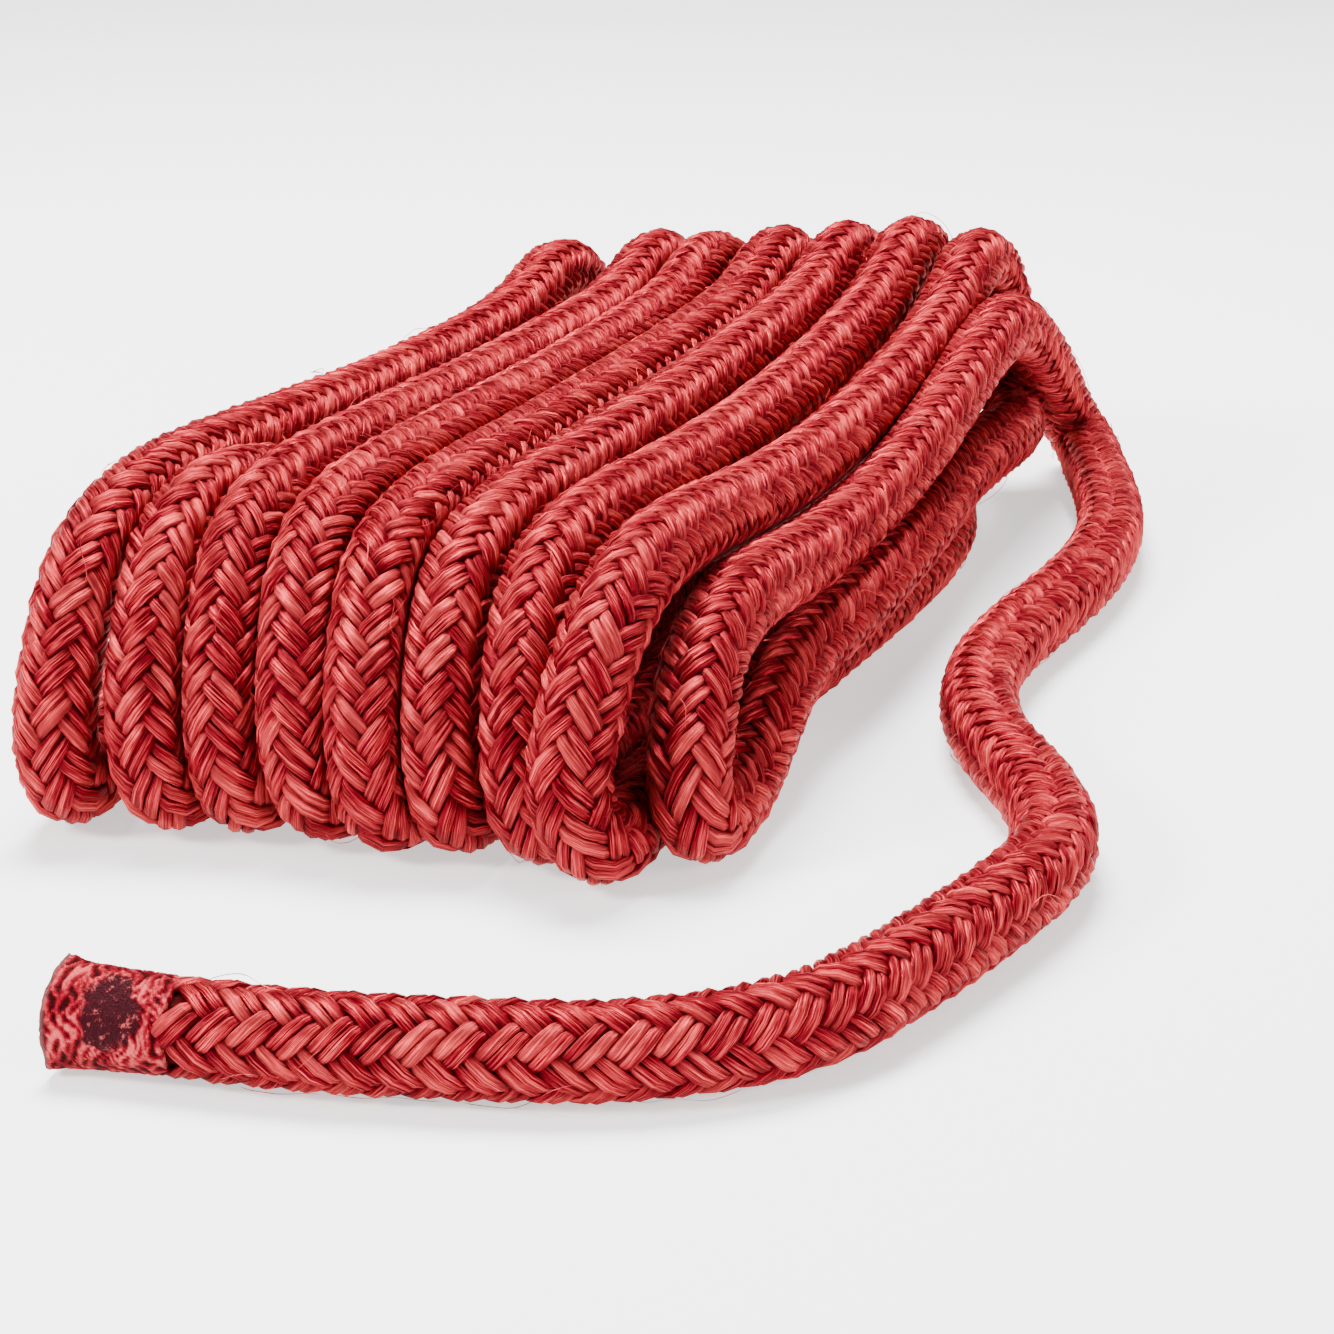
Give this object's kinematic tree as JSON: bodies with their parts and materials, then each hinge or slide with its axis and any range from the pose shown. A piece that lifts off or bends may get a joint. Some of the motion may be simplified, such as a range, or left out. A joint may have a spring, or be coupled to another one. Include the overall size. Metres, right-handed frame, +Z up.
{
  "type": "coiled dock line",
  "caption": "Double-braid dock line laid up in a loose flat hank, with one heat-sealed end running free along the floor.",
  "frame": {"origin": "on the hank's flat underside, between its near and far bends", "axes": "+Z up from the floor, +Y along the hank's long runs towards the end where the tail leaves, +X across the turns towards the tail"},
  "size_m": [0.1737, 0.3152, 0.0529],
  "materials": {
    "braid": "glossy filament braid",
    "core": "plain filament braid",
    "seal": "melted filament"
  },
  "bodies": {
    "root": {"hank": "braid", "tail_cover": "braid", "tail_core": "core", "tail_end_seal": "seal", "standing_cover": "braid", "standing_core": "core", "standing_end_seal": "seal"}
  },
  "joints": []
}
